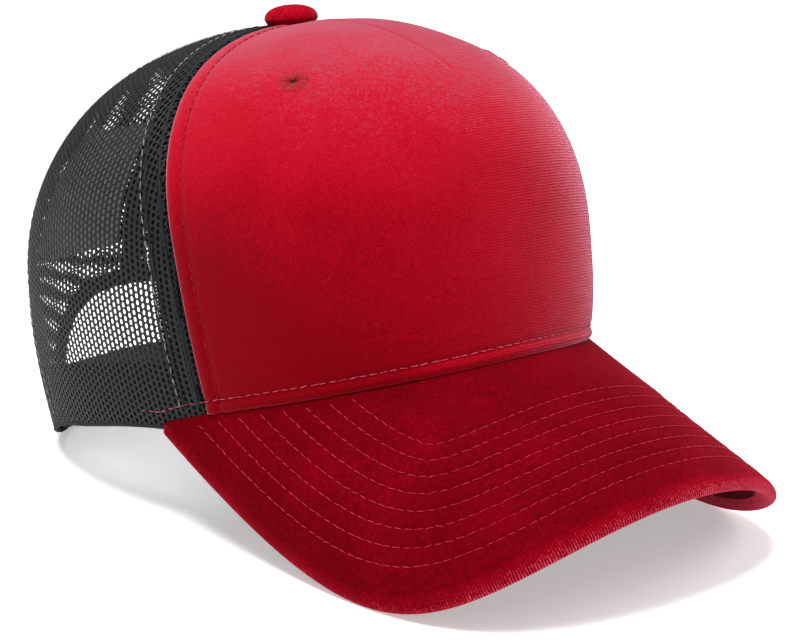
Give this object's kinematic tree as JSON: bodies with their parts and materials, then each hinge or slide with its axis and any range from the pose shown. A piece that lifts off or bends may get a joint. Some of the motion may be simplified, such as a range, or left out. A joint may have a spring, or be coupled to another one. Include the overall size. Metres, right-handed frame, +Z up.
{
  "type": "trucker cap",
  "caption": "Trucker cap with a velvet front panel, open net sides and back, a curved quilted visor and a snap-strap size adjuster.",
  "frame": {"origin": "centre of the cap's footprint box, on the surface that the cap rests on", "axes": "+Z up, -Y towards the visor, +X towards the wearer's left"},
  "size_m": [0.1664, 0.2762, 0.1535],
  "materials": {
    "velvet_red": "short-pile ribbed velvet",
    "net_black": "open polyester net",
    "thread_red": "embroidery thread",
    "lining_grey": "stiff woven lining",
    "band_black": "twill sweatband",
    "tape_black": "woven tape",
    "strap_plastic": "moulded, satin",
    "board_white": "moulded sheet",
    "rivet_steel": "plain"
  },
  "bodies": {
    "cap": {"front_panel": "velvet_red", "front_lining": "lining_grey", "top_button": "velvet_red", "button_rivet": "rivet_steel", "visor_top_cloth": "velvet_red", "visor_board": "board_white", "visor_under_cloth": "velvet_red", "sweatband": "band_black", "back_seam_tape": "tape_black", "opening_binding": "tape_black", "side_mesh_right": "net_black", "side_mesh_left": "net_black", "back_mesh_right": "net_black", "back_mesh_left": "net_black", "front_seam_tape_right": "tape_black", "front_seam_tape_left": "tape_black", "side_seam_tape_right": "tape_black", "side_seam_tape_left": "tape_black", "eyelet_right": "thread_red", "eyelet_left": "thread_red", "strap_root_right": "strap_plastic", "strap_root_left": "strap_plastic"},
    "outer_strap": {"snap_strap_holes": "strap_plastic"},
    "inner_strap": {"snap_strap_studs": "strap_plastic"}
  },
  "joints": [
    {"name": "outer_strap_swing", "type": "hinge", "parent": "cap", "child": "outer_strap", "pos_m": [0.0308, 0.1252, 0.01093], "axis": [0, 0, -1], "range_deg": [0, 75], "stiffness_Nm_per_rad": 0.01},
    {"name": "inner_strap_swing", "type": "hinge", "parent": "cap", "child": "inner_strap", "pos_m": [-0.0308, 0.1252, 0.01093], "axis": [0.0203, -0.1697, -0.9853], "range_deg": [0, 45], "stiffness_Nm_per_rad": 0.01}
  ]
}
